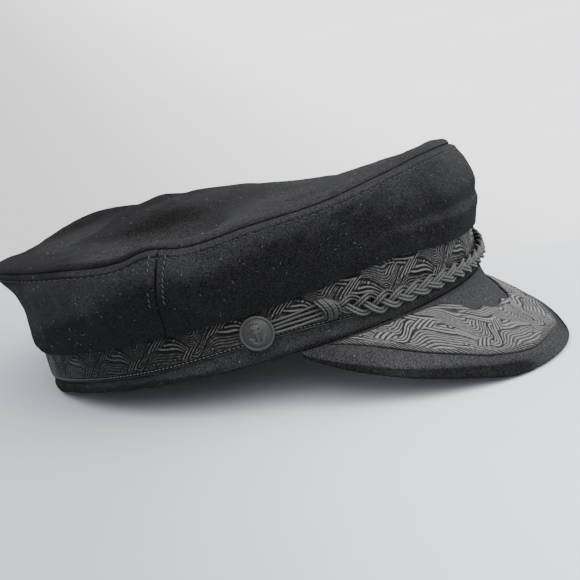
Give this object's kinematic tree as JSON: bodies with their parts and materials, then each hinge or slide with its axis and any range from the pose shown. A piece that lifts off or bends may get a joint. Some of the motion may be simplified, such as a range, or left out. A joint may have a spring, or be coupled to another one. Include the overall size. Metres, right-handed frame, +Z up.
{
  "type": "skipper cap",
  "caption": "Soft skipper cap with a slouched oval crown, a ribboned headband, a plaited cord held by side buttons, and a curved cloth-covered peak.",
  "frame": {"origin": "centre of the cap's footprint, on the table it stands on", "axes": "+Z up from the table, -Y the way the peak points, +X towards the wearer's left"},
  "size_m": [0.2026, 0.2634, 0.0948],
  "materials": {
    "wool": "black fulled wool cloth",
    "ribbon": "black patterned ribbon with a soft sheen",
    "cord": "black satin cord",
    "button": "matt dark grey"
  },
  "bodies": {
    "root": {"crown_top": "wool", "crown_front": "wool", "crown_back": "wool", "headband": "wool", "peak": "wool", "band_ribbon": "ribbon", "peak_ribbon": "ribbon", "braid": "cord", "knot_left": "cord", "knot_right": "cord", "strands_left": "cord", "strands_right": "cord", "button_left": "button", "button_right": "button"}
  },
  "joints": []
}
